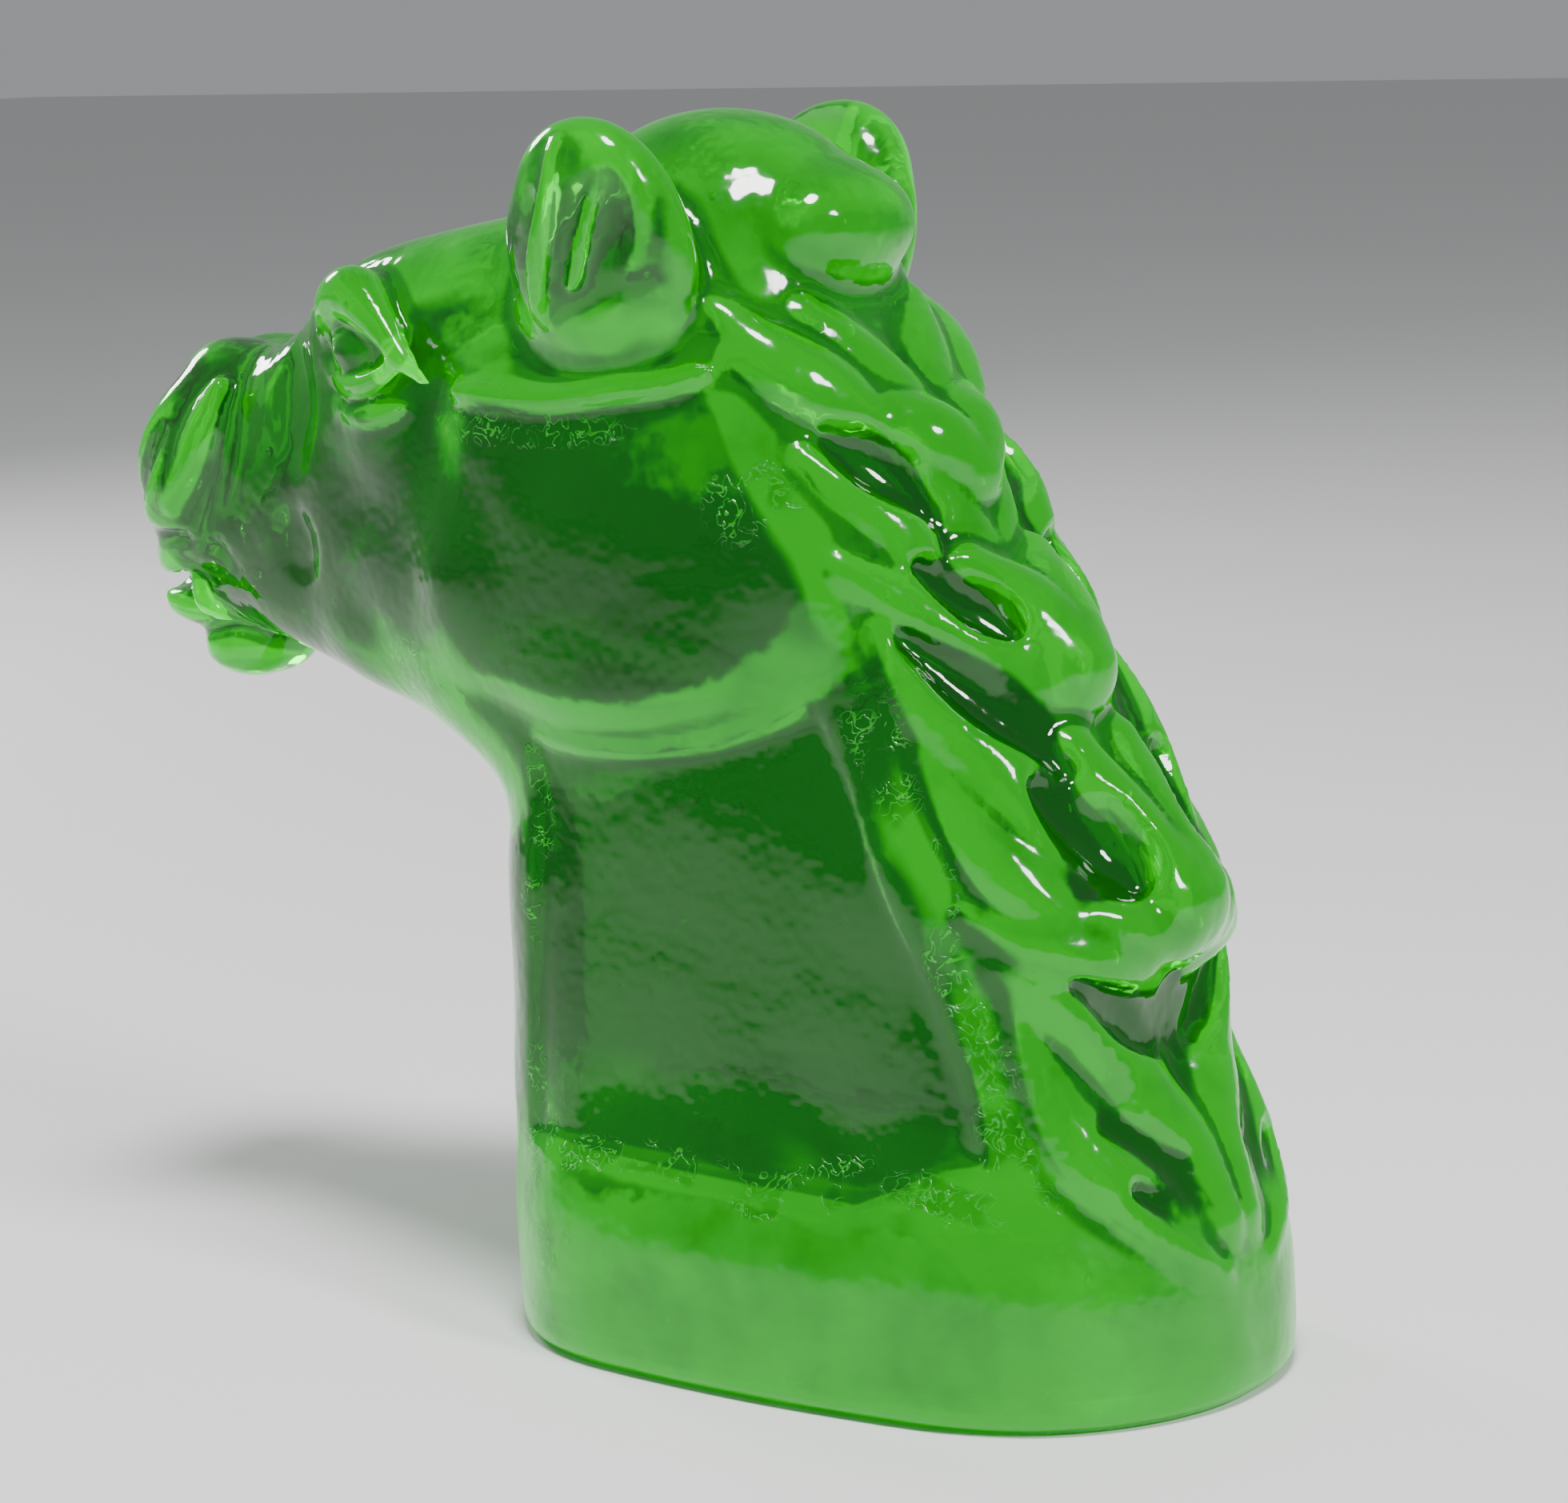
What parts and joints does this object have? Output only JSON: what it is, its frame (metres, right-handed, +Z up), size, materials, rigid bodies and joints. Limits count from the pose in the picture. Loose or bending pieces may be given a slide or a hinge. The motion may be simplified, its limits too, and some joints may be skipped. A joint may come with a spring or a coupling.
{
  "type": "horse head ornament",
  "caption": "Solid cast uranium-glass horse head with a swept mane and splayed ears, on a ground flat oval foot; a shelf ornament or bookend.",
  "frame": {"origin": "centre of the ground flat face of the foot, on the surface the head stands on", "axes": "+Z up, -X the way the horse looks, -Y its left side; the head is the same both sides of Y = 0"},
  "size_m": [0.1823, 0.0702, 0.1597],
  "materials": {
    "uranium_glass": "fire-polished, glossy, glowing green"
  },
  "bodies": {
    "root": {"skull": "uranium_glass", "foot": "uranium_glass", "neck": "uranium_glass", "muzzle": "uranium_glass", "lower_jaw": "uranium_glass", "forelock": "uranium_glass", "ear_left": "uranium_glass", "ear_right": "uranium_glass", "brow_left": "uranium_glass", "eye_left": "uranium_glass", "brow_right": "uranium_glass", "eye_right": "uranium_glass", "mane_lock_1": "uranium_glass", "mane_lock_2": "uranium_glass", "mane_lock_3": "uranium_glass", "mane_lock_4": "uranium_glass", "mane_lock_5": "uranium_glass", "mane_lock_6": "uranium_glass", "mane_lock_7": "uranium_glass"}
  },
  "joints": []
}
